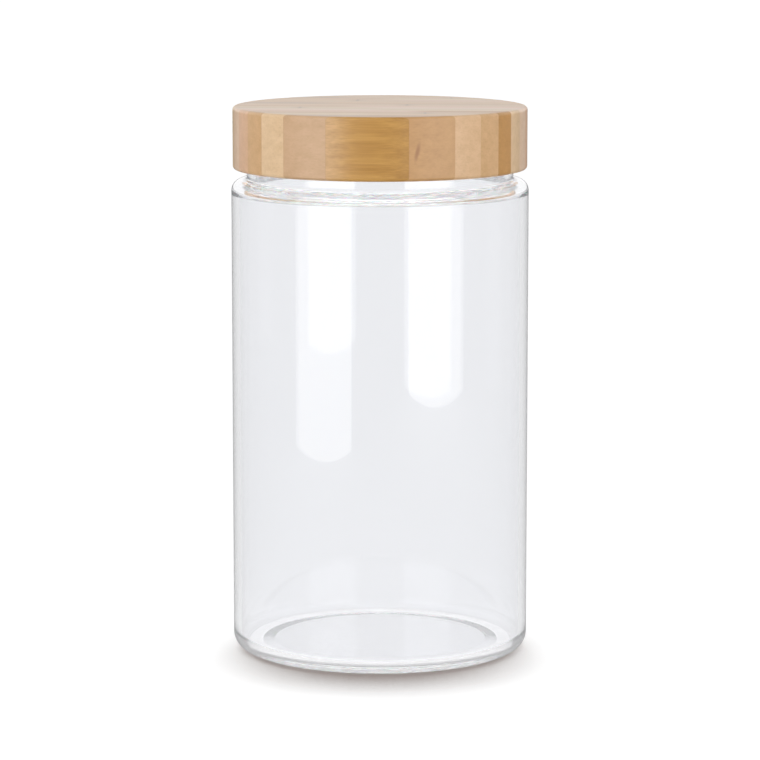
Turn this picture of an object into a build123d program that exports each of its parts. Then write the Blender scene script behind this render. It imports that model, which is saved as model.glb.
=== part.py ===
"""Glass storage canister with a laminated bamboo screw lid.

The jar is clear glass with a rounded shoulder and a narrower threaded neck. The lid is a disc of
bamboo strips glued side by side, hollowed out below for a threaded plastic liner, and a silicone
ring seals the liner's ceiling on the glass rim.

Frame: millimetres, +Z up, origin on the standing surface at the jar's axis.
"""

import math
import os

from build123d import *

# ---------------------------------------------------------------- driving dimensions

# overall
total_height = 184.5
body_d = 100.0

# glass jar
wall = 2.5
base_thickness = 3.0
heel_radius = 5.0
inner_heel_radius = 3.5
push_up = 0.5              # how far the middle of the base is raised
stand_ring_width = 5.0     # flat ring that the jar stands on
push_up_slope = 4.0        # width of the slope from the ring to the raised middle
push_up_blend = 2.0        # fillet between that slope and the middle
shoulder_radius = 3.6
shoulder_step = 5.2        # body radius less neck radius
shoulder_glass = 3.0       # thickness of the glass under the shoulder
inner_shoulder_radius = 2.2
neck_root_radius = 0.9     # outside fillet between shoulder and neck
inner_neck_radius = 2.0    # inside edge where the neck opens into the body
neck_wall = 2.5
rim_radius = 1.0

# screw thread, single start, right hand
thread_lead = 6.0
thread_clearance = 0.35    # radial gap between a crest and the other part's root
glass_bead_depth = 1.0
glass_bead_width = 3.6
liner_bead_depth = 1.0
liner_bead_width = 2.6
bead_sink = 0.5            # how deep a bead's root is buried in its wall
bead_fade = 24.0           # degrees over which a bead's end rises out of the wall
bead_step = 12.0           # degrees between two sections of a bead
thread_end_land = 0.8      # plain height left above and below the glass bead

# lid
lid_height = 21.0
neck_gap = 3.6             # glass shoulder to the lid's lower edge
lid_inset = 0.5            # body radius less lid radius
lid_edge_radius = 1.1
lid_inner_edge_radius = 0.5
lid_top_thickness = 5.0
strip_width = 6.8
narrowest_strip = 1.0      # a rim strip thinner than this stays part of its neighbour
grain_turn = -5.0          # degrees from +X to the strips' direction

# liner and seal
glue_gap = 0.15            # round the liner, inside the bamboo
liner_wall = 0.9
liner_disc = 1.2
liner_edge_radius = 0.3
liner_set_back = 1.0       # liner's lower edge above the lid's lower edge
retainer_width = 1.0       # ring under the disc that holds the seal from inside
retainer_depth = 1.2
seal_thickness = 1.6
seal_play = 0.3            # radial gap round the seal and inside the retaining ring

# ---------------------------------------------------------------- worked-out sizes

body_r = body_d / 2
inner_r = body_r - wall
neck_r = body_r - shoulder_step
mouth_r = neck_r - neck_wall

lid_r = body_r - lid_inset
lid_d = 2 * lid_r
lid_z = total_height - lid_height
shoulder_z = lid_z - neck_gap
recess_z = total_height - lid_top_thickness
ceiling_z = recess_z - liner_disc
rim_z = ceiling_z - seal_thickness

liner_inner_r = neck_r + glass_bead_depth + thread_clearance
liner_outer_r = liner_inner_r + liner_wall
recess_r = liner_outer_r + glue_gap
liner_z = lid_z + liner_set_back

seal_outer_r = liner_inner_r - seal_play
retainer_outer_r = mouth_r - seal_play
seal_inner_r = retainer_outer_r + seal_play

thread_low_z = lid_z + thread_end_land + glass_bead_width / 2
thread_high_z = rim_z - rim_radius - thread_end_land - glass_bead_width / 2
thread_turns = (thread_high_z - thread_low_z) / thread_lead


# ---------------------------------------------------------------- helpers


def lathe(points, radii):
    """Solid of revolution about Z from (radius, height) corners, each with its own fillet."""
    outline = FilletPolyline(*[(r, 0, z) for r, z in points], radius=radii, close=True)
    return revolve(make_face(outline), Axis.Z).solid()


def bead(wall_r, depth, width, start_angle, outwards):
    """Helical thread bead of arc section whose two ends rise out of the wall.

    wall_r is the wall's radius, and outwards is True on a neck and False inside a skirt.
    Two beads whose starts are half a turn apart lie half a lead apart, in mesh.
    """
    way = 1 if outwards else -1
    sweep_angle = 360 * thread_turns
    steps = math.ceil(sweep_angle / bead_step)
    sections = []
    for step in range(steps + 1):
        angle = sweep_angle * step / steps
        nearest_end = min(angle, sweep_angle - angle)
        rise = min(1.0, nearest_end / bead_fade)
        crest = depth * rise - (1 - rise) * bead_sink / 2
        z = thread_low_z + thread_lead * angle / 360
        root = wall_r - way * bead_sink
        arc = ThreePointArc(
            (root, 0, z - width / 2), (wall_r + way * crest, 0, z), (root, 0, z + width / 2)
        )
        outline = Wire([arc, Line((root, 0, z + width / 2), (root, 0, z - width / 2))])
        sections.append(outline.rotate(Axis.Z, start_angle + angle))
    return Solid.make_loft(sections)


# ---------------------------------------------------------------- pieces


def make_glass_jar():
    """Body, base, shoulder and neck in one wall of glass, with the thread on the neck."""
    slope_end_r = body_r - heel_radius - stand_ring_width
    slope_start_r = slope_end_r - push_up_slope
    under_shoulder_z = shoulder_z - shoulder_glass
    profile = [
        ((0, push_up), 0),
        ((slope_start_r, push_up), push_up_blend),
        ((slope_end_r, 0), 0),
        ((body_r, 0), heel_radius),
        ((body_r, shoulder_z), shoulder_radius),
        ((neck_r, shoulder_z), neck_root_radius),
        ((neck_r, rim_z), rim_radius),
        ((mouth_r, rim_z), rim_radius),
        ((mouth_r, under_shoulder_z), inner_neck_radius),
        ((inner_r, under_shoulder_z), inner_shoulder_radius),
        ((inner_r, base_thickness), inner_heel_radius),
        ((0, base_thickness), 0),
    ]
    jar = lathe([corner for corner, _ in profile], [radius for _, radius in profile])
    return jar + bead(neck_r, glass_bead_depth, glass_bead_width, 0, True)


def make_lid_blank():
    """The whole turned bamboo lid, before it is divided into its strips."""
    profile = [
        ((0, recess_z), 0),
        ((recess_r, recess_z), 0),
        ((recess_r, lid_z), lid_inner_edge_radius),
        ((lid_r, lid_z), lid_edge_radius),
        ((lid_r, total_height), lid_edge_radius),
        ((0, total_height), 0),
    ]
    return lathe([corner for corner, _ in profile], [radius for _, radius in profile])


def strip_edges():
    """Places of the strips' sides across the lid, from beyond one rim to beyond the other."""
    per_side = math.floor((lid_r - narrowest_strip) / strip_width)
    glue_lines = [k * strip_width for k in range(-per_side, per_side + 1)]
    return [-lid_d, *glue_lines, lid_d]


def make_lid_strips():
    """The lid's bamboo strips, from the front rim to the back one."""
    blank = make_lid_blank()
    edges = strip_edges()
    strips = []
    for low, high in zip(edges, edges[1:]):
        slab = Pos(0, (low + high) / 2, total_height - lid_height / 2) * Box(
            2 * lid_d, high - low, 2 * lid_height
        )
        strips.append((blank & slab.rotate(Axis.Z, grain_turn)).solid())
    return strips


def make_lid_liner():
    """Threaded plastic cup glued into the lid's recess, with a ring that retains the seal."""
    retainer_inner_r = retainer_outer_r - retainer_width
    retainer_z = ceiling_z - retainer_depth
    profile = [
        ((0, ceiling_z), 0),
        ((retainer_inner_r, ceiling_z), 0),
        ((retainer_inner_r, retainer_z), liner_edge_radius),
        ((retainer_outer_r, retainer_z), liner_edge_radius),
        ((retainer_outer_r, ceiling_z), 0),
        ((liner_inner_r, ceiling_z), 0),
        ((liner_inner_r, liner_z), liner_edge_radius),
        ((liner_outer_r, liner_z), liner_edge_radius),
        ((liner_outer_r, recess_z), 0),
        ((0, recess_z), 0),
    ]
    cup = lathe([corner for corner, _ in profile], [radius for _, radius in profile])
    return cup + bead(liner_inner_r, liner_bead_depth, liner_bead_width, 180, False)


def make_seal_ring():
    """Flat silicone ring between the liner's ceiling and the glass rim."""
    profile = [
        ((seal_inner_r, rim_z), 0),
        ((seal_outer_r, rim_z), 0),
        ((seal_outer_r, ceiling_z), 0),
        ((seal_inner_r, ceiling_z), 0),
    ]
    return lathe([corner for corner, _ in profile], [radius for _, radius in profile])


# ---------------------------------------------------------------- output

os.makedirs("parts", exist_ok=True)
export_step(make_glass_jar(), "parts/glass_jar.step")
export_step(make_lid_liner(), "parts/lid_liner.step")
export_step(make_seal_ring(), "parts/seal_ring.step")
for number, strip in enumerate(make_lid_strips(), start=1):
    export_step(strip, f"parts/lid_strip_{number:02d}.step")
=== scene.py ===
"""Glass storage canister with a laminated bamboo screw lid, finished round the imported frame.

Every piece of the canister is a turned shape. One Geometry Nodes tree turns an outline about the
axis and raises the screw thread on its wall, and another divides the bamboo lid into its glued
strips. Units are metres. The origin is on the standing surface at the jar's axis, with +Z up.
"""

from __future__ import annotations

import logging
import math
from dataclasses import dataclass
from enum import Enum

import bpy
from bpy.types import ID, Material, Node, NodeSocket, NodeTree, Object
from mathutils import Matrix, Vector

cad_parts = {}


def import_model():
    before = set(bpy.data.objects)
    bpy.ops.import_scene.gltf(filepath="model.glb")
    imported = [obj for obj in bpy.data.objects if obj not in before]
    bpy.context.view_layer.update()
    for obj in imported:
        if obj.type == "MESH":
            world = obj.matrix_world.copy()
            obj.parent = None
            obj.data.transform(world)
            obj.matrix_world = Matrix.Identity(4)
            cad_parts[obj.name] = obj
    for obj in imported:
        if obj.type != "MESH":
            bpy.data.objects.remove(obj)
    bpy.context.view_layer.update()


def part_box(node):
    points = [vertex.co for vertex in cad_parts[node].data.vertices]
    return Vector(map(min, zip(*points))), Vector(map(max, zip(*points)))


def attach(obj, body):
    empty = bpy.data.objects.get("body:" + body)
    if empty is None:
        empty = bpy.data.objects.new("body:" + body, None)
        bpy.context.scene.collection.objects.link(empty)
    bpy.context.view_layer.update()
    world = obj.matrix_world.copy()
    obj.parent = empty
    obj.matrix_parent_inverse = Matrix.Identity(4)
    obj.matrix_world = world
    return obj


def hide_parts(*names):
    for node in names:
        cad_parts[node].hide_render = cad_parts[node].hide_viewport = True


MM = 0.001
FULL_TURN = 2 * math.pi

# how the lid sits over the jar, and the liner in the lid
NECK_GAP = 3.6 * MM
LID_INSET = 0.5 * MM
GLUE_GAP = 0.15 * MM

Color = tuple[float, float, float, float]
SOCKET_KINDS = {int: "NodeSocketInt", float: "NodeSocketFloat", tuple: "NodeSocketColor"}

log = logging.getLogger("canister")


# ---------------- colours


def linear(red: int, green: int, blue: int) -> Color:
    """Gives a shader colour from its three 0 to 255 display values."""
    shares = [value / 255 for value in (red, green, blue)]
    return (*(c / 12.92 if c <= 0.04045 else ((c + 0.055) / 1.055) ** 2.4 for c in shares), 1.0)


def grey(level: float) -> Color:
    """Gives a shader colour with the same level in all three channels."""
    return (level, level, level, 1.0)


class Tone(Enum):
    """Bamboo tones, named as a lid maker sorts the strips. One of them also carries a painted
    sheen.
    """

    CREAM = linear(238, 203, 160)
    PALE = linear(231, 190, 145)
    ROSY = linear(241, 197, 160)
    # painted sheen: a paler, whiter tone for the strip ends at the lid's left and right edges, the
    # bamboo's colour lightened there to stand in for the lacquer's sheen
    BLUSH_AND_SHEEN = linear(247, 212, 180)
    BISCUIT = linear(211, 171, 130)
    HONEY = linear(226, 182, 132)
    WHEAT = linear(214, 170, 117)
    TAN = linear(205, 157, 103)
    TOFFEE = linear(209, 155, 89)
    GOLDEN = linear(194, 143, 67)


class Mark(Enum):
    """The darker browns that mark the bamboo."""

    FIBRE = linear(150, 98, 52)
    CULM_NODE = linear(134, 88, 48)
    KNOT = linear(128, 66, 40)
    SEAM = linear(140, 96, 56)


# ---------------- node trees


class Value:
    """What comes out of a node. Arithmetic on it adds Math nodes to its tree."""

    def __init__(self, graph: Graph, socket: NodeSocket) -> None:
        """Keeps the graph and the output socket."""
        self.graph = graph
        self.socket = socket

    def __add__(self, other: object) -> Value:
        """Adds a value or a number."""
        return self.graph.math("ADD", self, other)

    def __sub__(self, other: object) -> Value:
        """Takes away a value or a number."""
        return self.graph.math("SUBTRACT", self, other)

    def __rsub__(self, other: float) -> Value:
        """Takes this value away from a number."""
        return self.graph.math("SUBTRACT", other, self)

    def __mul__(self, other: object) -> Value:
        """Multiplies by a value or a number."""
        return self.graph.math("MULTIPLY", self, other)

    def __truediv__(self, other: object) -> Value:
        """Divides by a value or a number."""
        return self.graph.math("DIVIDE", self, other)

    def __pow__(self, power: float) -> Value:
        """Raises to a power."""
        return self.graph.math("POWER", self, power)

    def __abs__(self) -> Value:
        """Drops the sign."""
        return self.graph.math("ABSOLUTE", self)

    def scaled(self, factor: object, offset: object) -> Value:
        """Multiplies by a factor and then adds an offset."""
        return self.graph.math("MULTIPLY_ADD", self, factor, offset)

    def parts(self) -> list[Value]:
        """Gives a vector's three numbers."""
        made = self.graph.node("ShaderNodeSeparateXYZ", {0: self})
        return [Value(self.graph, socket) for socket in made.outputs]


class Graph:
    """A node tree being built, with short calls for the nodes that every tree here uses."""

    def __init__(self, tree: NodeTree) -> None:
        """Keeps the tree that the nodes go into."""
        self.tree = tree

    @classmethod
    def fresh(cls, owner: ID) -> Graph:
        """Empties the node tree of a material or a world, and gives its graph.

        Args:
            owner: the material or world.

        Returns:
            The graph of its empty tree.
        """
        owner.use_nodes = True
        owner.node_tree.nodes.clear()
        return cls(owner.node_tree)

    def feed(self, socket: NodeSocket, value: object) -> None:
        """Links an input socket to a value or an output socket, or sets it to anything else.

        Args:
            socket: the input socket.
            value: a value or an output socket to link, or what to set.
        """
        if isinstance(value, Value):
            value = value.socket
        if isinstance(value, NodeSocket):
            self.tree.links.new(value, socket)
        else:
            socket.default_value = value

    def node(self, kind: str, inputs: dict | None = None, **settings: object) -> Node:
        """Adds a node.

        Args:
            kind: the node's type name.
            inputs: what goes into each input, by the input's name or number.
            settings: the node's own properties.

        Returns:
            The new node.
        """
        made = self.tree.nodes.new(kind)
        for name, value in settings.items():
            setattr(made, name, value)
        for key, value in (inputs or {}).items():
            self.feed(made.inputs[key], value)
        return made

    def out(
        self, kind: str, inputs: dict | None = None, output: int | str = 0, **settings: object
    ) -> Value:
        """Adds a node as node() does, and gives one of its outputs.

        Args:
            kind: the node's type name.
            inputs: what goes into each input, by the input's name or number.
            output: the output's name or number.
            settings: the node's own properties.

        Returns:
            What comes out there.
        """
        return Value(self, self.node(kind, inputs, **settings).outputs[output])

    def math(self, operation: str, *values: object, clamp: bool = False) -> Value:
        """Adds a Math node and gives its result."""
        inputs = dict(enumerate(values))
        return self.out("ShaderNodeMath", inputs, operation=operation, use_clamp=clamp)

    def whole(self, operation: str, *values: object) -> Value:
        """Adds an Integer Math node and gives its result."""
        return self.out("FunctionNodeIntegerMath", dict(enumerate(values)), operation=operation)

    def combine(self, x: object, y: object, z: object) -> Value:
        """Joins three numbers into a vector."""
        return self.out("ShaderNodeCombineXYZ", {"X": x, "Y": y, "Z": z})

    def place(self, kind: str = "Object") -> Value:
        """Gives the coordinates of the point that is shaded."""
        return self.out("ShaderNodeTexCoord", output=kind)

    def ramp(self, value: object, low: float, high: float) -> Value:
        """Gives 0 where value is at low, 1 where it is at high, and a smooth step between."""
        inputs = {"Value": value, "From Min": low, "From Max": high}
        return self.out("ShaderNodeMapRange", inputs, interpolation_type="SMOOTHSTEP")

    def blend(self, share: object, first: object, second: object, way: str = "MIX") -> Value:
        """Mixes two colours and gives the result.

        Args:
            share: how much of the second colour, from 0 to 1.
            first: the first colour.
            second: the second colour.
            way: the blend type.

        Returns:
            The mixed colour.
        """
        made = self.node("ShaderNodeMix", data_type="RGBA", blend_type=way)
        color_inputs = [socket for socket in made.inputs if socket.type == "RGBA"]
        self.feed(made.inputs[0], share)
        self.feed(color_inputs[0], first)
        self.feed(color_inputs[1], second)
        return Value(self, next(socket for socket in made.outputs if socket.type == "RGBA"))

    def noise(self, vector: object, scale: object, detail: float = 2.0) -> Value:
        """Gives a noise value about 0.5."""
        return self.out("ShaderNodeTexNoise", {"Vector": vector, "Scale": scale, "Detail": detail})

    def bump(self, height: object, depth: float) -> Value:
        """Gives the normal of a surface raised by up to depth where height is 1."""
        return self.out("ShaderNodeBump", {"Distance": depth, "Height": height})


def new_group(
    name: str, kind: str, inlets: dict[str, object], outlets: dict[str, str]
) -> tuple[Graph, dict[str, Value], Node]:
    """Makes an empty node group with its sockets.

    Args:
        name: the group's name.
        kind: "GeometryNodeTree" or "ShaderNodeTree".
        inlets: each input's starting value, or its socket type if it has none.
        outlets: each output's socket type.

    Returns:
        The graph, what comes in by name, and the output node.
    """
    tree = bpy.data.node_groups.new(name, kind)
    for in_out, sockets in (("INPUT", inlets), ("OUTPUT", outlets)):
        for label, start in sockets.items():
            socket_type = start if isinstance(start, str) else SOCKET_KINDS[type(start)]
            made = tree.interface.new_socket(name=label, in_out=in_out, socket_type=socket_type)
            if not isinstance(start, str):
                made.default_value = start
    graph = Graph(tree)
    inlet = graph.node("NodeGroupInput")
    arriving = {label: Value(graph, inlet.outputs[label]) for label in inlets}
    return graph, arriving, graph.node("NodeGroupOutput")


def add_object(name: str, data: ID) -> Object:
    """Puts a new object with this mesh, lamp or camera into the scene.

    Args:
        name: the object's name.
        data: the mesh, lamp or camera.

    Returns:
        The new object.
    """
    obj = bpy.data.objects.new(name, data)
    bpy.context.scene.collection.objects.link(obj)
    return obj


# ---------------- outlines


@dataclass(frozen=True)
class Corner:
    """A corner of a turned outline: distance from the axis, height, and fillet radius."""

    r: float
    z: float
    fillet: float = 0.0

    @property
    def place(self) -> Vector:
        """The corner as a point of the section."""
        return Vector((self.r, self.z))


@dataclass(frozen=True)
class Outline:
    """A turned piece's section, from its lower pole round the outside to its upper pole.

    A closed section, such as a ring's, ends on its first corner. Rows of points close to the ends
    of each straight run keep a fillet's shading off the flat beside it.
    """

    corners: tuple[Corner, ...]
    threaded_r: float = -1.0
    row_step: float = 6 * MM
    thread_row_step: float = 0.3 * MM
    fillet_step: float = math.radians(9)
    end_land: float = 0.2 * MM
    same_radius: float = 1e-7

    def _fillet(self, before: Corner, corner: Corner, after: Corner) -> list[Vector]:
        """Gives the points of one corner's arc, or the corner itself where it is sharp.

        Args:
            before: the corner before it.
            corner: the corner.
            after: the corner after it.

        Returns:
            The points in order.
        """
        if corner.fillet == 0:
            return [corner.place]
        towards = (before.place - corner.place).normalized()
        away = (after.place - corner.place).normalized()
        opening = towards.angle(away)
        reach = corner.fillet / math.tan(opening / 2)
        inwards = (towards + away).normalized()
        centre = corner.place + inwards * (corner.fillet / math.sin(opening / 2))
        first = corner.place + towards * reach - centre
        final = corner.place + away * reach - centre
        sweep = math.pi - opening
        side = math.copysign(1, first.x * final.y - first.y * final.x)
        steps = max(2, math.ceil(sweep / self.fillet_step))
        turns = [side * sweep * step / steps for step in range(steps + 1)]
        arc = []
        for turn in turns:
            cos, sin = math.cos(turn), math.sin(turn)
            turned = (first.x * cos - first.y * sin, first.x * sin + first.y * cos)
            arc.append(centre + Vector(turned))
        return arc

    def _run(self, start: Vector, end: Vector) -> list[Vector]:
        """Gives the points strictly between the two ends of a straight run.

        Args:
            start: where the run starts.
            end: where it ends.

        Returns:
            The points in order.
        """
        length = (end - start).length
        if length < 4 * self.end_land:
            return []
        off_wall = max(abs(start.x - self.threaded_r), abs(end.x - self.threaded_r))
        threaded = off_wall < self.same_radius
        step = self.thread_row_step if threaded else self.row_step
        inner = length - 2 * self.end_land
        count = max(1, math.ceil(inner / step))
        places = [self.end_land + inner * number / count for number in range(count + 1)]
        return [start.lerp(end, place / length) for place in places]

    def points(self) -> list[Vector]:
        """Gives the whole chain of points, in order.

        Returns:
            Each point's distance from the axis and height.
        """
        closed = self.corners[0] == self.corners[-1]
        chain: list[Vector] = []
        last = len(self.corners) - 1
        for number, corner in enumerate(self.corners):
            if number in (0, last) and not closed:
                arc = [corner.place]
            else:
                before = self.corners[number - 1 if number else last - 1]
                after = self.corners[number + 1 if number < last else 1]
                arc = self._fillet(before, corner, after)
            if chain:
                chain += self._run(chain[-1], arc[0])
            chain += arc
        return chain


# ---------------- the trees that make pieces


@dataclass(frozen=True)
class Thread:
    """A single-start screw thread whose round bead rises out of the wall at its two ends."""

    wall_r: float
    outwards: bool
    depth: float
    width: float
    start_angle: float
    low_z: float
    turns: float
    lead: float
    sink: float = 0.5 * MM
    root_blend: float = 0.3 * MM
    fade: float = math.radians(24)

    def inputs(self) -> dict[str, float]:
        """Gives the sizes that the turning tree takes.

        Returns:
            Each size by its input's name.
        """
        return {
            "Wall Radius": self.wall_r,
            "Side": 1.0 if self.outwards else -1.0,
            "Bead Depth": self.depth,
            "Bead Width": self.width,
            "Bead Sink": self.sink,
            "Root Blend": self.root_blend,
            "Lead": self.lead,
            "Low Height": self.low_z,
            "Sweep": FULL_TURN * self.turns,
            "Start Angle": self.start_angle,
            "Fade Angle": self.fade,
        }


NO_THREAD = Thread(-1.0, True, 0.0, 1.0, start_angle=0.0, low_z=0.0, turns=0.0, lead=1.0)


class NodesTree:
    """A Geometry Nodes tree that is built once and then placed on objects with its own sizes."""

    name = "nodes_tree"
    sizes: dict[str, object] = {}
    sharp_angle = math.radians(35)

    def __init__(self) -> None:
        """Builds the tree with its geometry and material sockets."""
        inlets = {"Geometry": "NodeSocketGeometry", **self.sizes, "Material": "NodeSocketMaterial"}
        self.graph, self.arriving, outlet = new_group(
            self.name, "GeometryNodeTree", inlets, {"Geometry": "NodeSocketGeometry"}
        )
        self.graph.feed(outlet.inputs["Geometry"], self._close(self.build()))

    def size(self, name: str) -> Value:
        """Gives one of the tree's named inputs."""
        return self.arriving[name]

    def build(self) -> Value:
        """Makes the tree's own nodes and gives their geometry."""
        raise NotImplementedError

    def _shade(self, domain: str, geometry: Value, chosen: object, smooth: bool) -> Value:
        """Sets smooth or flat shading on the chosen edges or faces of a geometry."""
        inputs = {"Geometry": geometry, "Selection": chosen, "Shade Smooth": smooth}
        return self.graph.out("GeometryNodeSetShadeSmooth", inputs, domain=domain)

    def _weld(self, geometry: object, distance: float) -> Value:
        """Merges the points of a geometry that lie closer than the distance."""
        inputs = {"Geometry": geometry, "Distance": distance}
        return self.graph.out("GeometryNodeMergeByDistance", inputs)

    def _close(self, geometry: Value) -> Value:
        """Creases the edges that are sharp, and makes real geometry of it in its material.

        Args:
            geometry: what the tree has made.

        Returns:
            What the tree gives out.
        """
        g = self.graph
        angle = g.out("GeometryNodeInputMeshEdgeAngle", output="Unsigned Angle")
        sharp = g.math("GREATER_THAN", angle, self.sharp_angle)
        creased = self._shade("EDGE", geometry, sharp, False)
        real = g.out("GeometryNodeRealizeInstances", {"Geometry": creased})
        dressed = {"Geometry": real, "Material": self.size("Material")}
        return g.out("GeometryNodeSetMaterial", dressed)

    def place(self, obj: Object, values: dict[str, object]) -> None:
        """Puts the tree on an object as a modifier.

        Args:
            obj: the object that carries the modifier.
            values: the value of each named input; inputs left out keep their defaults.
        """
        modifier = obj.modifiers.new(self.name, "NODES")
        modifier.node_group = self.graph.tree
        for item in self.graph.tree.interface.items_tree:
            if item.in_out == "INPUT" and item.name in values:
                modifier[item.identifier] = values[item.name]


class TurningTree(NodesTree):
    """Turns an outline about Z and raises a screw thread on one of its walls."""

    name = "turned_shell"
    sizes = {"Segments": 256, **NO_THREAD.inputs()}
    same_radius = 1e-6
    weld = 1e-6

    def _bead_height(self, angle: Value, z: Value) -> Value:
        """Gives how far the thread stands off its wall at an angle and a height.

        Args:
            angle: the angle round the axis.
            z: the height.

        Returns:
            The bead's height there, and 0 beside it.
        """
        g = self.graph
        from_start = angle - self.size("Start Angle")
        climbed_turns = (z - self.size("Low Height")) / self.size("Lead")
        turns_from_start = from_start / FULL_TURN
        whole_turns = g.math("ROUND", climbed_turns - turns_from_start)
        along = whole_turns.scaled(FULL_TURN, from_start)
        nearest_end = g.math("MINIMUM", along, self.size("Sweep") - along)
        rise = g.math("DIVIDE", nearest_end, self.size("Fade Angle"), clamp=True)

        off_centre = (climbed_turns - (whole_turns + turns_from_start)) * self.size("Lead")
        sink = self.size("Bead Sink")
        crest = self.size("Bead Depth") * rise - (1.0 - rise) * (sink * 0.5)
        sagitta = crest + sink
        half_width = self.size("Bead Width") * 0.5
        arc_r = (half_width**2.0 + sagitta**2.0) / (sagitta * 2.0)
        chord = g.math("SQRT", g.math("MAXIMUM", arc_r**2.0 - off_centre**2.0, 0.0))
        return g.math("SMOOTH_MAX", (chord - arc_r) + crest, 0.0, self.size("Root Blend"))

    def build(self) -> Value:
        """Lays a grid of angle by outline point round the axis, and lifts the thread on it.

        Returns:
            The turned shell, shaded smooth.
        """
        g = self.graph
        outline = self.size("Geometry")
        segments = self.size("Segments")
        rows = g.out("GeometryNodeAttributeDomainSize", {"Geometry": outline}, "Point Count")
        columns = g.whole("ADD", segments, 1)
        grid = g.out("GeometryNodeMeshGrid", {"Vertices X": columns, "Vertices Y": rows})

        index = g.out("GeometryNodeInputIndex")
        position = g.out("GeometryNodeInputPosition")
        on_outline = g.out(
            "GeometryNodeSampleIndex",
            {"Geometry": outline, "Value": position, "Index": g.whole("MODULO", index, rows)},
            data_type="FLOAT_VECTOR",
        )
        radius, _, z = on_outline.parts()
        angle = g.whole("DIVIDE_FLOOR", index, rows) / segments * FULL_TURN

        on_wall = g.math("COMPARE", radius, self.size("Wall Radius"), self.same_radius)
        lift = self._bead_height(angle, z) * self.size("Side")
        lifted = on_wall.scaled(lift, radius)
        round_axis = g.combine(lifted * g.math("COSINE", angle), lifted * g.math("SINE", angle), z)
        turned = g.out("GeometryNodeSetPosition", {"Geometry": grid, "Position": round_axis})
        return self._shade("FACE", self._weld(turned, self.weld), True, True)


class StripsTree(NodesTree):
    """Divides a turned lid into the strips that it is glued up from, side by side."""

    name = "glued_strips"
    sizes = {
        "Strips": 2,
        "Strip Width": 1.0,
        "Glue Line": 0.0,
        "Grain Turn": 0.0,
        "Middle Height": 0.0,
        "Slab Length": 1.0,
        "Slab Height": 1.0,
    }
    weld = 4e-6

    def _slab(self, number: Value) -> Value:
        """Makes the block that holds one strip, from the front rim backwards.

        Args:
            number: the strip's number, from 0 at the front.

        Returns:
            The block in its place.
        """
        g = self.graph
        turn = self.size("Grain Turn")
        width = self.size("Strip Width")
        sawn = width - self.size("Glue Line")
        offset = (number - (self.size("Strips") - 1) * 0.5) * width
        sideways = g.math("SINE", turn) * -1.0 * offset
        backwards = g.math("COSINE", turn) * offset
        block = {"Size": g.combine(self.size("Slab Length"), sawn, self.size("Slab Height"))}
        rotation = g.out("FunctionNodeEulerToRotation", {0: g.combine(0.0, 0.0, turn)})
        placed = {
            "Geometry": g.out("GeometryNodeMeshCube", block),
            "Translation": g.combine(sideways, backwards, self.size("Middle Height")),
            "Rotation": rotation,
        }
        return g.out("GeometryNodeTransform", placed)

    def _is_glued_face(self) -> Value:
        """Tells whether a face lies on a glue line, from the place of its middle.

        Returns:
            1 for such a face and 0 for any other.
        """
        g = self.graph
        turn = self.size("Grain Turn")
        width = self.size("Strip Width")
        x, y, _ = g.out("GeometryNodeInputPosition").parts()
        strips_across = (g.math("COSINE", turn) * y - g.math("SINE", turn) * x) / width
        off_line = strips_across - g.math("ROUND", strips_across)
        return g.math("LESS_THAN", abs(off_line) * width, self.size("Glue Line"))

    def build(self) -> Value:
        """Cuts one strip a round and adds it to those before it.

        Returns:
            All the strips.
        """
        g = self.graph
        start = g.node("GeometryNodeRepeatInput")
        end = g.node("GeometryNodeRepeatOutput")
        start.pair_with_output(end)
        g.feed(start.inputs["Iterations"], self.size("Strips"))
        cut = g.node("GeometryNodeMeshBoolean", operation="INTERSECT", solver="MANIFOLD")
        g.feed(cut.inputs["Mesh 2"], self.size("Geometry"))
        g.feed(cut.inputs["Mesh 2"], self._slab(Value(g, start.outputs["Iteration"])))
        joined = g.node("GeometryNodeJoinGeometry")
        g.feed(joined.inputs[0], start.outputs["Geometry"])
        g.feed(joined.inputs[0], self._weld(cut.outputs["Mesh"], self.weld))
        g.feed(end.inputs["Geometry"], joined.outputs[0])
        return self._shade("FACE", Value(g, end.outputs["Geometry"]), self._is_glued_face(), False)


@dataclass(frozen=True)
class Workshop:
    """The two trees that make every piece, and how their results become plain meshes."""

    turning: TurningTree
    strips: StripsTree

    def turn(
        self,
        name: str,
        outline: Outline,
        material: Material,
        thread: Thread | None = None,
        divide: dict[str, object] | None = None,
    ) -> Object:
        """Makes a turned piece as a plain mesh at the origin.

        Args:
            name: the piece's name.
            outline: its section.
            material: its finish.
            thread: the screw thread on one of its walls, if it has one.
            divide: the sizes of the strips that it is divided into, if it is.

        Returns:
            The finished object, with no modifier left on it.
        """
        points = outline.points()
        places = [(point.x, 0.0, point.y) for point in points]
        links = [(number, number + 1) for number in range(len(points) - 1)]
        chain = bpy.data.meshes.new(name + "_outline")
        chain.from_pydata(places, links, [])
        blank = add_object(name + "_outline", chain)
        sizes = thread.inputs() if thread else {}
        self.turning.place(blank, {**sizes, "Material": material})
        if divide:
            self.strips.place(blank, {**divide, "Material": material})
        depsgraph = bpy.context.evaluated_depsgraph_get()
        mesh = bpy.data.meshes.new_from_object(blank.evaluated_get(depsgraph))
        mesh.name = name
        mesh.materials.clear()
        mesh.materials.append(material)
        mesh.polygons.foreach_set("material_index", [0] * len(mesh.polygons))
        bpy.data.objects.remove(blank)
        log.info("%s: %d rows of outline, %d faces", name, len(points), len(mesh.polygons))
        return add_object(name, mesh)


# ---------------- finishes


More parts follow.
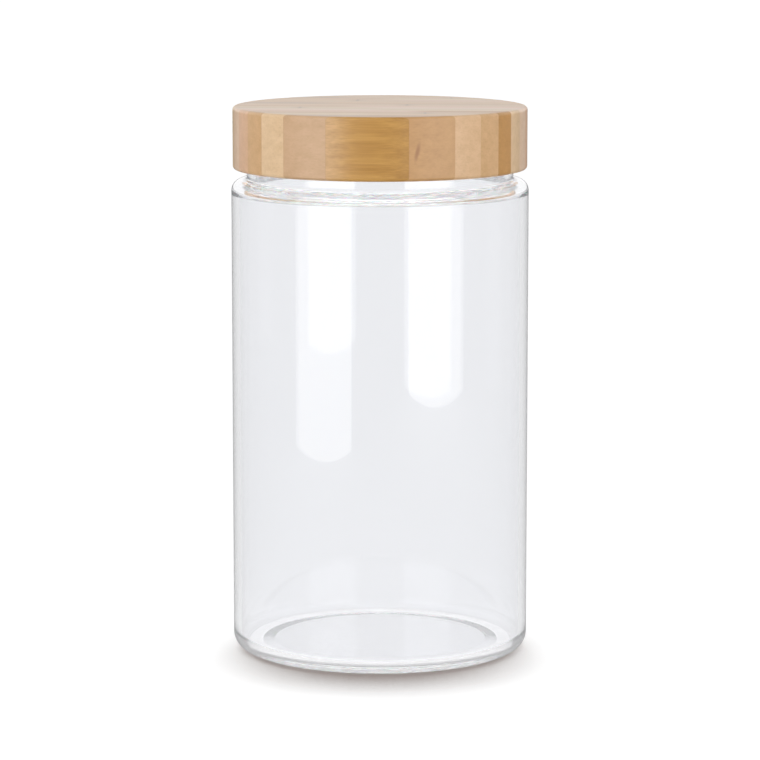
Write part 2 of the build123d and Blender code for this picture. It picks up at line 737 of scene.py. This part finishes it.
class MouldedSkin:
    """Shared shader group: the faint grain and colour drift of a moulded surface."""

    drift_scale = 60.0
    grain_detail = 3.0
    unevenness = 0.12

    def __init__(self) -> None:
        """Builds the group."""
        inlets = {
            "Color": linear(255, 255, 255),
            "Drift": 0.05,
            "Roughness": 0.4,
            "Grain Scale": 2000.0,
        }
        outlets = {
            "Color": "NodeSocketColor",
            "Roughness": "NodeSocketFloat",
            "Height": "NodeSocketFloat",
        }
        g, arriving, outlet = new_group("moulded_skin", "ShaderNodeTree", inlets, outlets)
        place = g.place()
        grain = g.noise(place, arriving["Grain Scale"], self.grain_detail)
        shade = (g.noise(place, self.drift_scale) - 0.5) * arriving["Drift"] + 1.0
        tint = g.out("ShaderNodeCombineColor", {"Red": shade, "Green": shade, "Blue": shade})
        uneven = (grain - 0.5) * self.unevenness
        g.feed(outlet.inputs["Color"], g.blend(1.0, arriving["Color"], tint, "MULTIPLY"))
        g.feed(outlet.inputs["Roughness"], arriving["Roughness"] + uneven)
        g.feed(outlet.inputs["Height"], grain)
        self.tree = g.tree


@dataclass(frozen=True)
class MouldedFinish:
    """A moulded plastic or rubber, from the shared moulded skin."""

    name: str
    color: Color
    roughness: float
    drift: float
    grain_scale: float
    grain_depth: float
    subsurface: float

    def build(self, skin: MouldedSkin) -> Material:
        """Makes the material with the shared group.

        Args:
            skin: the shared group.

        Returns:
            The finished material.
        """
        material = bpy.data.materials.new(self.name)
        g = Graph.fresh(material)
        look = {
            "Color": self.color,
            "Drift": self.drift,
            "Roughness": self.roughness,
            "Grain Scale": self.grain_scale,
        }
        grained = g.node("ShaderNodeGroup", look, node_tree=skin.tree).outputs
        surface = {
            "Base Color": grained["Color"],
            "Roughness": grained["Roughness"],
            "Normal": g.bump(grained["Height"], self.grain_depth),
            "Subsurface Weight": self.subsurface,
            "Subsurface Scale": 1 * MM,
        }
        shader = g.out("ShaderNodeBsdfPrincipled", surface)
        g.node("ShaderNodeOutputMaterial", {"Surface": shader})
        return material


@dataclass(frozen=True)
class ClearGlass:
    """Clear soda glass: hardly tinted, with the faint unevenness of a blown wall."""

    ior: float = 1.47
    color: Color = (0.91, 0.915, 0.93, 1.0)
    tint: Color = (0.30, 0.33, 0.36, 1.0)
    density: float = 1.5
    shadow: Color = grey(0.80)
    wave_scale: float = 30.0
    wave_depth: float = 0.02 * MM

    def build(self) -> Material:
        """Makes the material, which lets the lamps through to what is behind it.

        Returns:
            The finished material.
        """
        material = bpy.data.materials.new("jar_glass")
        g = Graph.fresh(material)
        surface = {
            "Base Color": self.color,
            "Roughness": 0.0,
            "IOR": self.ior,
            "Transmission Weight": 1.0,
            "Normal": g.bump(g.noise(g.place(), self.wave_scale, 0.0), self.wave_depth),
        }
        shader = g.out("ShaderNodeBsdfPrincipled", surface)
        lamp_ray = g.out("ShaderNodeLightPath", output="Is Shadow Ray")
        passing = g.out("ShaderNodeBsdfTransparent", {"Color": self.shadow})
        mixed = g.out("ShaderNodeMixShader", {0: lamp_ray, 1: shader, 2: passing})
        body = g.out("ShaderNodeVolumeAbsorption", {"Color": self.tint, "Density": self.density})
        g.node("ShaderNodeOutputMaterial", {"Surface": mixed, "Volume": body})
        return material


@dataclass(frozen=True)
class Strip:
    """One strip of bamboo: its tone at each end, and where along it the tone changes.

    Places along a strip are shares of the lid's radius, from -1 at the left to 1 at the right. Some
    strips hold a culm node, the darker ring of the grown stem. The figure is how strongly the grain
    is marked, from 0 to 1.
    """

    left: Tone
    right: Tone
    change: float = 0.0
    culm_node: float | None = None
    figure: float = 0.3


@dataclass(frozen=True)
class Bamboo:
    """Laminated bamboo under a satin lacquer.

    The grain is solid: fibres run the length of each strip, so they show as streaks along it and
    as dots on its end grain.
    """

    strips: tuple[Strip, ...]
    strip_width: float
    grain_turn: float
    lid_r: float
    knot: Vector
    fine_width: float = 0.45 * MM
    fine_length: float = 20 * MM
    broad_width: float = 2.4 * MM
    broad_length: float = 70 * MM
    bundle_spacing: float = 0.95 * MM
    bundle_length: float = 60 * MM
    bundle_edge: float = 0.42
    bundle_core: float = 0.12
    fewest_bundles: float = 0.3
    strip_offset: float = 1.7
    seam_width: float = 0.06 * MM
    knot_width: float = 0.8 * MM
    knot_height: float = 3.2 * MM
    knot_lean: float = -0.8
    knot_edge: float = 1.3
    knot_core: float = 0.2
    culm_line: float = 0.8 * MM
    culm_line_core: float = 0.1 * MM
    culm_halo: float = 5 * MM
    culm_halo_share: float = 0.35
    culm_bend: float = 3 * MM
    culm_bend_length: float = 40 * MM
    culm_bend_width: float = 3 * MM
    tone_change: float = 6 * MM
    fine_contrast: float = 0.5
    broad_contrast: float = 0.75
    side_contrast: float = -0.06
    green_power: float = 1.3
    blue_power: float = 2.0
    fibre_share: float = 0.10
    culm_share: float = 0.5
    knot_share: float = 0.45
    seam_share: float = 0.12
    roughness: float = 0.42
    unevenness: float = 0.2
    grain_depth: float = 0.008 * MM
    dot_height: float = -0.6
    coat: float = 0.6
    coat_roughness: float = 0.32

    def _lookup(self, share: Value, colors: list[Color]) -> Value:
        """Gives each strip its own colour from a list in strip order.

        Args:
            share: the strip's place in the list, from 0 to 1.
            colors: the colours from the front strip to the back one.

        Returns:
            The colour of the strip.
        """
        made = share.graph.node("ShaderNodeValToRGB", {0: share})
        ramp = made.color_ramp
        ramp.interpolation = "CONSTANT"
        while len(ramp.elements) < len(colors):
            ramp.elements.new(0.5)
        for number, color in enumerate(colors):
            ramp.elements[number].position = number / len(colors)
            ramp.elements[number].color = color
        return Value(share.graph, made.outputs[0])

    def _lookup_number(self, share: Value, numbers: list[float]) -> Value:
        """Gives each strip its own number from 0 to 1."""
        return self._lookup(share, [grey(number) for number in numbers])

    def _lookup_place(self, share: Value, places: list[float]) -> Value:
        """Gives each strip its own place along it, in metres, from shares of the lid's radius."""
        found = self._lookup_number(share, [(place + 1) / 2 for place in places])
        return (found - 0.5) * (2 * self.lid_r)

    def _fibres(self, place: list[Value], length: float, width: float) -> Value:
        """Gives coordinates in which a fibre of that length and width is one unit each way."""
        x, y, z = place
        return x.graph.combine(x / length, y / width, z / width)

    def _node_marks(self, x: Value, wobble: Value, share: Value) -> Value:
        """Gives a mask of the culm nodes: a thin dark line inside a soft band.

        Args:
            x: the place along the strip.
            wobble: a noise about 0.5 that bends the line.
            share: the strip's place in the list.

        Returns:
            The mask, from 0 to 1.
        """
        g = x.graph
        shown = [0.0 if strip.culm_node is None else 1.0 for strip in self.strips]
        present = self._lookup_number(share, shown)
        at = self._lookup_place(share, [strip.culm_node or 0.0 for strip in self.strips])
        off = abs((wobble - 0.5).scaled(self.culm_bend, x) - at)
        line = g.ramp(off, self.culm_line, self.culm_line_core)
        halo = g.ramp(off, self.culm_halo, 0.0) * self.culm_halo_share
        return g.math("MAXIMUM", line, halo) * present

    def _knot_mark(self, place: list[Value]) -> Value:
        """Gives a mask of the one small dark knot beside the front strip.

        Args:
            place: the point's three coordinates along the grain.

        Returns:
            The mask, from 0 to 1.
        """
        x, y, z = place
        g = x.graph
        upwards = (z - self.knot.z) / self.knot_height
        sideways = (x - self.knot.x) / self.knot_width
        leaning = upwards.scaled(self.knot_lean, sideways)
        off = g.math("SQRT", leaning**2.0 + upwards**2.0)
        spot = g.ramp(off, self.knot_edge, self.knot_core)
        return spot * g.math("LESS_THAN", y, self.knot.y)

    def build(self) -> Material:
        """Makes the material.

        Returns:
            The finished material.
        """
        material = bpy.data.materials.new("laminated_bamboo")
        g = Graph.fresh(material)
        turned = {"Vector": g.place(), "Rotation": (0.0, 0.0, -self.grain_turn)}
        x, y, z = g.out("ShaderNodeMapping", turned).parts()

        count = len(self.strips)
        lane = y / self.strip_width + count / 2
        number = g.math("FLOOR", lane)
        share = (number + 0.5) / float(count)
        across = g.math("FRACT", lane)
        chance = g.out("ShaderNodeTexWhiteNoise", {"W": number}, "Color", noise_dimensions="1D")
        shift, lean, _ = chance.parts()
        place = [shift.scaled(self.strip_offset, x), y, z]

        left = self._lookup(share, [strip.left.value for strip in self.strips])
        right = self._lookup(share, [strip.right.value for strip in self.strips])
        change = self._lookup_place(share, [strip.change for strip in self.strips])
        past_change = g.ramp(x - change, -self.tone_change, self.tone_change)
        base = g.blend(past_change, left, right)

        fine = g.noise(self._fibres(place, self.fine_length, self.fine_width), 1.0, 3.0)
        broad = g.noise(self._fibres(place, self.broad_length, self.broad_width), 1.0)
        cells = self._fibres(place, self.bundle_length, self.bundle_spacing)
        bundles = g.out("ShaderNodeTexVoronoi", {"Vector": cells, "Scale": 1.0}, "Distance")
        outer_side = abs(across - g.math("ROUND", lean))
        crowding = outer_side.scaled(1 - self.fewest_bundles, self.fewest_bundles)
        dot = g.ramp(bundles, self.bundle_edge, self.bundle_core) * crowding

        figure = self._lookup_number(share, [strip.figure for strip in self.strips])
        figured = (fine - 0.5) * self.fine_contrast + (broad - 0.5) * self.broad_contrast
        shade = figured.scaled(figure, 1.0) + (outer_side - 0.5) * self.side_contrast
        warm = {"Red": shade, "Green": shade**self.green_power, "Blue": shade**self.blue_power}
        wood = g.blend(1.0, base, g.out("ShaderNodeCombineColor", warm), "MULTIPLY")

        bend = self._fibres(place, self.culm_bend_length, self.culm_bend_width)
        rings = self._node_marks(x, g.noise(bend, 1.0, 1.0), share)
        seam = g.ramp((0.5 - abs(across - 0.5)) * self.strip_width, self.seam_width, 0.0)
        for mask, darkest, mark in (
            (dot, self.fibre_share, Mark.FIBRE),
            (rings, self.culm_share, Mark.CULM_NODE),
            (self._knot_mark([x, y, z]), self.knot_share, Mark.KNOT),
            (seam, self.seam_share, Mark.SEAM),
        ):
            wood = g.blend(mask * darkest, wood, mark.value)

        surface = {
            "Base Color": wood,
            "Roughness": (broad - 0.5) * self.unevenness + self.roughness,
            "Normal": g.bump(fine + dot * self.dot_height + seam * -1.0, self.grain_depth),
            "Coat Weight": self.coat,
            "Coat Roughness": self.coat_roughness,
        }
        shader = g.out("ShaderNodeBsdfPrincipled", surface)
        g.node("ShaderNodeOutputMaterial", {"Surface": shader})
        return material


# ---------------- sub-assemblies


@dataclass(frozen=True)
class ScrewFit:
    """What the jar's neck and the lid's liner share: the heights and lead of their threads."""

    rim_z: float
    lid_z: float
    lead: float = 6 * MM
    bead_width: float = 3.6 * MM
    rim_radius: float = 1 * MM
    end_land: float = 0.8 * MM

    @property
    def low_z(self) -> float:
        """Height of the thread's lower end."""
        return self.lid_z + self.end_land + self.bead_width / 2

    @property
    def turns(self) -> float:
        """How often the thread goes round."""
        high_z = self.rim_z - self.rim_radius - self.end_land - self.bead_width / 2
        return (high_z - self.low_z) / self.lead

    def thread(
        self, wall_r: float, outwards: bool, depth: float, width: float, start_angle: float
    ) -> Thread:
        """Gives one of the two threads.

        Args:
            wall_r: radius of the wall that it stands on.
            outwards: True on the neck and False inside the liner.
            depth: how far it stands off the wall.
            width: its width at the root.
            start_angle: where its lower end is, round the axis.

        Returns:
            The thread.
        """
        end = (self.low_z, self.turns, self.lead)
        return Thread(wall_r, outwards, depth, width, start_angle, *end)


@dataclass(frozen=True)
class GlassJar:
    """Clear glass jar: straight body, pushed-up base, round shoulder and threaded neck."""

    fit: ScrewFit
    body_r: float
    shoulder_z: float
    wall: float = 2.5 * MM
    base_thickness: float = 3 * MM
    heel_radius: float = 5 * MM
    inner_heel_radius: float = 3.5 * MM
    push_up: float = 0.5 * MM
    stand_ring_width: float = 5 * MM
    push_up_slope: float = 4 * MM
    push_up_blend: float = 2 * MM
    stand_ring_blend: float = 1.5 * MM
    shoulder_radius: float = 3.6 * MM
    shoulder_step: float = 5.2 * MM
    shoulder_glass: float = 3 * MM
    inner_shoulder_radius: float = 2.2 * MM
    neck_root_radius: float = 0.9 * MM
    inner_neck_radius: float = 2 * MM
    neck_wall: float = 2.5 * MM
    bead_depth: float = 1 * MM

    def outline(self) -> Outline:
        """Gives the section of the glass, from under the base to inside it.

        Returns:
            The outline.
        """
        slope_end_r = self.body_r - self.heel_radius - self.stand_ring_width
        neck_r = self.body_r - self.shoulder_step
        mouth_r = neck_r - self.neck_wall
        inner_r = self.body_r - self.wall
        under_shoulder_z = self.shoulder_z - self.shoulder_glass
        return Outline(
            (
                Corner(0.0, self.push_up),
                Corner(slope_end_r - self.push_up_slope, self.push_up, self.push_up_blend),
                Corner(slope_end_r, 0.0, self.stand_ring_blend),
                Corner(self.body_r, 0.0, self.heel_radius),
                Corner(self.body_r, self.shoulder_z, self.shoulder_radius),
                Corner(neck_r, self.shoulder_z, self.neck_root_radius),
                Corner(neck_r, self.fit.rim_z, self.fit.rim_radius),
                Corner(mouth_r, self.fit.rim_z, self.fit.rim_radius),
                Corner(mouth_r, under_shoulder_z, self.inner_neck_radius),
                Corner(inner_r, under_shoulder_z, self.inner_shoulder_radius),
                Corner(inner_r, self.base_thickness, self.inner_heel_radius),
                Corner(0.0, self.base_thickness),
            ),
            threaded_r=neck_r,
        )

    def build(self, workshop: Workshop, glass: Material) -> None:
        """Makes the jar and puts it in the frame.

        Args:
            workshop: what turns it.
            glass: its material.
        """
        neck_r = self.body_r - self.shoulder_step
        thread = self.fit.thread(neck_r, True, self.bead_depth, self.fit.bead_width, 0.0)
        jar = workshop.turn("clear_glass_jar", self.outline(), glass, thread)
        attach(jar, "jar")
        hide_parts("glass_jar")


@dataclass(frozen=True)
class BambooLid:
    """Turned lid of bamboo strips glued side by side, hollowed out below for its liner."""

    lid_r: float
    lid_z: float
    top_z: float
    recess_z: float
    recess_r: float
    strips: int = 16
    strip_width: float = 6.8 * MM
    glue_line: float = 0.01 * MM
    grain_turn: float = math.radians(-5)
    edge_radius: float = 1.1 * MM
    inner_edge_radius: float = 0.5 * MM

    def outline(self) -> Outline:
        """Gives the section of the whole lid before it is divided.

        Returns:
            The outline.
        """
        return Outline(
            (
                Corner(0.0, self.recess_z),
                Corner(self.recess_r, self.recess_z),
                Corner(self.recess_r, self.lid_z, self.inner_edge_radius),
                Corner(self.lid_r, self.lid_z, self.edge_radius),
                Corner(self.lid_r, self.top_z, self.edge_radius),
                Corner(0.0, self.top_z),
            )
        )

    def finish(self) -> Bamboo:
        """Gives the bamboo's finish, with the strips from the front one to the back one.

        Returns:
            The finish.
        """
        return Bamboo(
            strips=(
                Strip(Tone.WHEAT, Tone.GOLDEN, -0.2, figure=0.75),
                Strip(Tone.BISCUIT, Tone.TAN),
                Strip(Tone.CREAM, Tone.PALE),
                Strip(Tone.HONEY, Tone.HONEY, 0.1, 0.35),
                Strip(Tone.ROSY, Tone.TOFFEE, 0.3),
                # this strip's left end and the next strip's right end take the tone with painted
                # sheen, where they meet the lid's edges
                Strip(Tone.BLUSH_AND_SHEEN, Tone.CREAM),
                Strip(Tone.CREAM, Tone.BLUSH_AND_SHEEN, 0.0, -0.52),
                Strip(Tone.HONEY, Tone.ROSY, -0.2),
                Strip(Tone.PALE, Tone.PALE, 0.0, 0.18),
                Strip(Tone.BISCUIT, Tone.HONEY, -0.4),
                Strip(Tone.HONEY, Tone.PALE, -0.5),
                Strip(Tone.PALE, Tone.ROSY, 0.1, -0.2),
                Strip(Tone.HONEY, Tone.CREAM),
                Strip(Tone.BISCUIT, Tone.PALE, -0.3, 0.44),
                Strip(Tone.PALE, Tone.HONEY),
                Strip(Tone.WHEAT, Tone.TAN),
            ),
            strip_width=self.strip_width,
            grain_turn=self.grain_turn,
            lid_r=self.lid_r,
            knot=Vector((16.2 * MM, -40 * MM, (self.lid_z + self.top_z) / 2 - 1 * MM)),
        )

    def build(self, workshop: Workshop) -> None:
        """Makes the divided lid and puts it in the frame.

        Args:
            workshop: what turns and divides it.
        """
        divide = {
            "Strips": self.strips,
            "Strip Width": self.strip_width,
            "Glue Line": self.glue_line,
            "Grain Turn": self.grain_turn,
            "Middle Height": (self.lid_z + self.top_z) / 2,
            "Slab Length": 3 * self.lid_r,
            "Slab Height": 2 * (self.top_z - self.lid_z),
        }
        bamboo = self.finish().build()
        lid = workshop.turn("glued_bamboo_lid", self.outline(), bamboo, divide=divide)
        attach(lid, "lid")
        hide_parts(*[f"lid_strip_{number:02d}" for number in range(1, self.strips + 1)])


@dataclass(frozen=True)
class LidLiner:
    """Threaded plastic cup inside the lid, with a ring that holds the seal from inside."""

    fit: ScrewFit
    outer_r: float
    liner_z: float
    recess_z: float
    mouth_r: float
    wall: float = 0.9 * MM
    disc: float = 1.2 * MM
    edge_radius: float = 0.3 * MM
    root_radius: float = 0.4 * MM
    seal_play: float = 0.3 * MM
    retainer_width: float = 1 * MM
    retainer_depth: float = 1.2 * MM
    bead_depth: float = 1 * MM
    bead_width: float = 2.6 * MM

    def outline(self) -> Outline:
        """Gives the section of the cup, from its ceiling out and over.

        Returns:
            The outline.
        """
        ceiling_z = self.recess_z - self.disc
        retainer_outer_r = self.mouth_r - self.seal_play
        retainer_inner_r = retainer_outer_r - self.retainer_width
        retainer_z = ceiling_z - self.retainer_depth
        inner_r = self.outer_r - self.wall
        return Outline(
            (
                Corner(0.0, ceiling_z),
                Corner(retainer_inner_r, ceiling_z, self.root_radius),
                Corner(retainer_inner_r, retainer_z, self.edge_radius),
                Corner(retainer_outer_r, retainer_z, self.edge_radius),
                Corner(retainer_outer_r, ceiling_z),
                Corner(inner_r, ceiling_z),
                Corner(inner_r, self.liner_z, self.edge_radius),
                Corner(self.outer_r, self.liner_z, self.edge_radius),
                Corner(self.outer_r, self.recess_z, self.edge_radius),
                Corner(0.0, self.recess_z),
            ),
            threaded_r=inner_r,
        )

    def build(self, workshop: Workshop, plastic: Material) -> None:
        """Makes the liner and puts it in the frame.

        Args:
            workshop: what turns it.
            plastic: its material.
        """
        thread = self.fit.thread(
            self.outer_r - self.wall, False, self.bead_depth, self.bead_width, math.pi
        )
        liner = workshop.turn("threaded_liner", self.outline(), plastic, thread)
        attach(liner, "lid")
        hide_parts("lid_liner")


@dataclass(frozen=True)
class SealRing:
    """Flat silicone ring between the liner's ceiling and the glass rim."""

    inner_r: float
    outer_r: float
    low_z: float
    high_z: float
    edge_radius: float = 0.2 * MM

    def outline(self) -> Outline:
        """Gives the ring's closed section.

        Returns:
            The outline.
        """
        start = Corner(self.inner_r, self.low_z, self.edge_radius)
        return Outline(
            (
                start,
                Corner(self.outer_r, self.low_z, self.edge_radius),
                Corner(self.outer_r, self.high_z, self.edge_radius),
                Corner(self.inner_r, self.high_z, self.edge_radius),
                start,
            )
        )

    def build(self, workshop: Workshop, silicone: Material) -> None:
        """Makes the seal and puts it in the frame.

        Args:
            workshop: what turns it.
            silicone: its material.
        """
        seal = workshop.turn("silicone_seal", self.outline(), silicone)
        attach(seal, "seal")
        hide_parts("seal_ring")


# ---------------- studio


@dataclass(frozen=True)
class SoftBox:
    """A large soft lamp, seen by reflections but not by the camera itself."""

    name: str
    azimuth: float
    distance: float
    width: float
    height: float
    middle_z: float
    aim_z: float
    brightness: float
    mirrored_brightness: float = 0.0

    def _hang(self, name: str, brightness: float) -> Object:
        """Hangs one lamp at the bearing from the camera's side, turned towards its aim.

        Args:
            name: the lamp's name.
            brightness: how bright its face is, where 1 is white.

        Returns:
            The lamp.
        """
        lamp = bpy.data.lights.new(name, "AREA")
        lamp.shape = "RECTANGLE"
        lamp.size = self.width
        lamp.size_y = self.height
        lamp.energy = brightness * math.pi * self.width * self.height
        obj = add_object(name, lamp)
        bearing = math.radians(self.azimuth)
        out = self.distance * math.sin(bearing)
        forward = -self.distance * math.cos(bearing)
        obj.location = (out, forward, self.middle_z)
        target = Vector((0.0, 0.0, self.aim_z))
        obj.rotation_euler = (target - obj.location).to_track_quat("-Z", "Y").to_euler()
        obj.visible_camera = False
        return obj

    def build(self) -> None:
        """Hangs the lamp, and a second one in its place that only shiny surfaces see."""
        self._hang(self.name, self.brightness)
        if self.mirrored_brightness > 0:
            mirrored = self._hang(self.name + "_mirrored", self.mirrored_brightness)
            mirrored.visible_diffuse = False
            mirrored.visible_transmission = False


@dataclass(frozen=True)
class Studio:
    """Pale floor, white surroundings, soft lamps and the camera."""

    lens: float = 170.5
    sensor: float = 36.0
    nearest: float = 0.05
    farthest: float = 50.0
    camera_back: float = 1.2076
    camera_up: float = 0.2762
    camera_pitch: float = math.radians(8.702)
    surround: float = 1.0
    overhead: float = 0.05
    overhead_from: float = 0.1
    overhead_to: float = 0.8
    front_level: float = 0.35
    front_to: float = -0.7
    back_from: float = 0.3
    horizon_blur: float = 0.03
    floor_r: float = 6.0
    floor_sides: int = 64
    floor_color: float = 0.35
    floor_bounce: float = 0.6
    floor_far_lift: float = 0.96
    floor_seen: float = 1.053
    floor_mirrored: float = 0.16
    floor_lamp_share: float = 0.08
    floor_lamp_reach: float = 0.55
    side_shadow_reach: float = 0.016
    side_shadow_to: float = -0.2
    front_shadow_reach: float = 0.040
    shadow_lean: Vector = Vector((0.0, 0.95, 0.3))
    shadow_depth: float = 2.7
    shadow_falloff: float = 2.0
    shadow_samples: int = 16
    shadow_tint: Color = (0.07, 0.02, 0.0, 1.0)
    through_glass: float = 0.9
    bounces: int = 128
    glow_radius: float = 0.02
    glow_z: float = 0.13
    glow_power: float = 0.25
    glow_spread: float = math.radians(170)
    glow_blend: float = 0.3
    side_lamps_high: float = 0.75
    side_lamps_bright: float = 1.45

    def _lift(self, g: Graph) -> tuple[Value, Value]:
        """Gives the light that keeps the floor white to the camera, less close to the object.

        It grows with distance as the lamps' own light fades. The object keeps it off the floor next
        to itself, which leaves a soft contact shadow that leans towards the front. Glass gathers
        light under itself, so the floor seen through it keeps most of the lift.

        Args:
            g: the floor material's graph.

        Returns:
            The color and the strength.
        """
        x, y, _ = g.place().parts()
        squares = x**2.0 + y**2.0
        leaning = {
            "Value": y / g.math("SQRT", squares),
            "From Min": self.side_shadow_to,
            "From Max": -1.0,
            "To Min": self.side_shadow_reach,
            "To Max": self.front_shadow_reach,
        }
        spread = squares.scaled(self.floor_lamp_reach**-2, 1.0)
        strength = self.floor_far_lift - g.math("DIVIDE", self.floor_lamp_share, spread)
        reach = g.out("ShaderNodeMapRange", leaning)
        near = {"Distance": reach, "Normal": g.combine(*self.shadow_lean)}
        clear = g.out("ShaderNodeAmbientOcclusion", near, "AO", samples=self.shadow_samples)
        covered = (1.0 - clear) ** self.shadow_falloff
        past_glass = g.out("ShaderNodeLightPath", output="Is Transmission Ray")
        most = past_glass.scaled(-self.through_glass, 1.0)
        shadow = g.math("MINIMUM", covered * self.shadow_depth, most)
        return g.blend(shadow, grey(1.0), self.shadow_tint), strength

    def _seen(self, g: Graph) -> Value:
        """Gives 1 for what the camera sees, itself or through glass, and 0 for all other light."""
        rays = g.node("ShaderNodeLightPath").outputs
        return g.math("MAXIMUM", rays["Is Camera Ray"], rays["Is Transmission Ray"])

    def _floor(self) -> None:
        """Lays the floor, white to the camera, with the object's shadow on it."""
        material = bpy.data.materials.new("pale_floor")
        g = Graph.fresh(material)
        color, strength = self._lift(g)
        plain = g.out("ShaderNodeBsdfDiffuse", {"Color": grey(self.floor_bounce)})
        bright = g.out("ShaderNodeBsdfDiffuse", {"Color": grey(self.floor_color)})
        lift = g.out("ShaderNodeEmission", {"Color": color, "Strength": strength})
        lifted = g.out("ShaderNodeAddShader", {0: bright, 1: lift})
        mixed = g.out("ShaderNodeMixShader", {0: self._seen(g), 1: plain, 2: lifted})
        g.node("ShaderNodeOutputMaterial", {"Surface": mixed})
        ring = []
        for side in range(self.floor_sides):
            bearing = FULL_TURN * side / self.floor_sides
            ring.append((self.floor_r * math.cos(bearing), self.floor_r * math.sin(bearing), 0.0))
        mesh = bpy.data.meshes.new("studio_floor")
        mesh.from_pydata(ring, [], [list(range(self.floor_sides))])
        mesh.materials.append(material)
        add_object("studio_floor", mesh)

    def _world(self) -> None:
        """Surrounds the set with white for what is seen, and a softer level for what is lit.

        Reflections find white behind the object and the dimmer side of a studio in front of it. At
        the horizon both go over into the far floor's own level, so that no line shows there.
        """
        world = bpy.data.worlds.new("studio")
        g = Graph.fresh(world)
        _, back, up = g.place("Generated").parts()
        risen = g.ramp(up, self.overhead_from, self.overhead_to)
        around = risen.scaled(self.overhead - self.surround, self.surround)
        whiter = g.ramp(back, self.front_to, self.back_from)
        mirrored = whiter.scaled(1.0 - self.front_level, self.front_level)
        clear = g.ramp(up, 0.0, self.horizon_blur)
        mirrored = clear.scaled(mirrored - self.floor_mirrored, self.floor_mirrored)
        glossy = g.out("ShaderNodeLightPath", output="Is Glossy Ray")
        unseen = g.out("ShaderNodeMix", {0: glossy, 2: around, 3: mirrored})
        strength = g.math("MAXIMUM", self._seen(g) * self.floor_seen, unseen)
        sky = g.out("ShaderNodeBackground", {"Color": grey(1.0), "Strength": strength})
        g.node("ShaderNodeOutputWorld", {"Surface": sky})
        bpy.context.scene.world = world

    def _camera(self) -> None:
        """Sets the camera in front of the object, looking slightly down."""
        data = bpy.data.cameras.new("camera")
        data.lens = self.lens
        data.sensor_width = self.sensor
        data.clip_start = self.nearest
        data.clip_end = self.farthest
        camera = add_object("camera", data)
        camera.location = (0.0, -self.camera_back, self.camera_up)
        camera.rotation_euler = (math.pi / 2 - self.camera_pitch, 0.0, 0.0)
        bpy.context.scene.camera = camera

    def _inner_glow(self) -> None:
        """Sends up into the lid the light that a white studio scatters about inside the jar."""
        lamp = bpy.data.lights.new("inner_glow", "SPOT")
        lamp.spot_size = self.glow_spread
        lamp.spot_blend = self.glow_blend
        lamp.shadow_soft_size = self.glow_radius
        lamp.energy = self.glow_power
        glow = add_object("inner_glow", lamp)
        glow.location = (0.0, 0.0, self.glow_z)
        glow.rotation_euler = (math.pi, 0.0, 0.0)
        glow.visible_camera = False
        glow.visible_glossy = False
        glow.visible_transmission = False

    def _light_paths(self) -> None:
        """Lets light go on for as long as it is passed about inside the glass."""
        cycles = bpy.context.scene.cycles
        cycles.max_bounces = self.bounces
        cycles.transmission_bounces = self.bounces
        cycles.glossy_bounces = self.bounces
        cycles.transparent_max_bounces = self.bounces

    def _lamps(self) -> list[SoftBox]:
        """Lists the soft lamps: a tall one at each side of the camera, and a faint one above.

        Returns:
            The lamps.
        """
        middle_z = self.side_lamps_high / 2
        tall = {"height": self.side_lamps_high, "middle_z": middle_z, "aim_z": middle_z}
        tall["brightness"] = self.side_lamps_bright
        left = {"width": 0.36, "mirrored_brightness": 1.2}
        right = {"width": 0.48, "mirrored_brightness": 0.9}
        above = {"width": 0.7, "height": 0.7, "middle_z": 1.0, "aim_z": 0.1, "brightness": 0.15}
        return [
            SoftBox("left_softbox", azimuth=-43.0, distance=0.45, **left, **tall),
            SoftBox("right_softbox", azimuth=43.0, distance=0.60, **right, **tall),
            SoftBox("top_softbox", azimuth=180.0, distance=0.25, **above),
        ]

    def build(self) -> None:
        """Sets up the whole studio."""
        bpy.context.scene.view_settings.view_transform = "Standard"
        self._light_paths()
        self._floor()
        self._world()
        self._camera()
        self._inner_glow()
        lamps = self._lamps()
        for lamp in lamps:
            lamp.build()
        log.info("studio: floor, surroundings, camera and %d lamps", len(lamps))


# ---------------- the canister


def main() -> None:
    """Loads the frame and builds the studio and each sub-assembly in order."""
    logging.basicConfig(level=logging.INFO, format="%(name)s: %(message)s")
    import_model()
    Studio().build()

    jar_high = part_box("glass_jar")[1]
    liner_low, liner_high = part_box("lid_liner")
    seal_low, seal_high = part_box("seal_ring")
    strip_low, strip_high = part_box("lid_strip_09")

    fit = ScrewFit(rim_z=jar_high.z, lid_z=strip_low.z)
    jar = GlassJar(fit, body_r=jar_high.x, shoulder_z=strip_low.z - NECK_GAP)
    mouth_r = jar.body_r - jar.shoulder_step - jar.neck_wall
    workshop = Workshop(TurningTree(), StripsTree())
    skin = MouldedSkin()
    plastic = MouldedFinish(
        "satin_plastic",
        linear(238, 238, 234),
        roughness=0.34,
        drift=0.04,
        grain_scale=1800.0,
        grain_depth=0.004 * MM,
        subsurface=0.1,
    )
    silicone = MouldedFinish(
        "soft_silicone",
        linear(232, 234, 236),
        roughness=0.5,
        drift=0.06,
        grain_scale=2600.0,
        grain_depth=0.003 * MM,
        subsurface=0.4,
    )

    jar.build(workshop, ClearGlass().build())
    BambooLid(
        lid_r=jar.body_r - LID_INSET,
        lid_z=strip_low.z,
        top_z=strip_high.z,
        recess_z=liner_high.z,
        recess_r=liner_high.x + GLUE_GAP,
    ).build(workshop)
    LidLiner(
        fit, outer_r=liner_high.x, liner_z=liner_low.z, recess_z=liner_high.z, mouth_r=mouth_r
    ).build(workshop, plastic.build(skin))
    SealRing(
        inner_r=mouth_r, outer_r=seal_high.x, low_z=seal_low.z, high_z=seal_high.z
    ).build(workshop, silicone.build(skin))


if __name__ == "__main__":
    main()
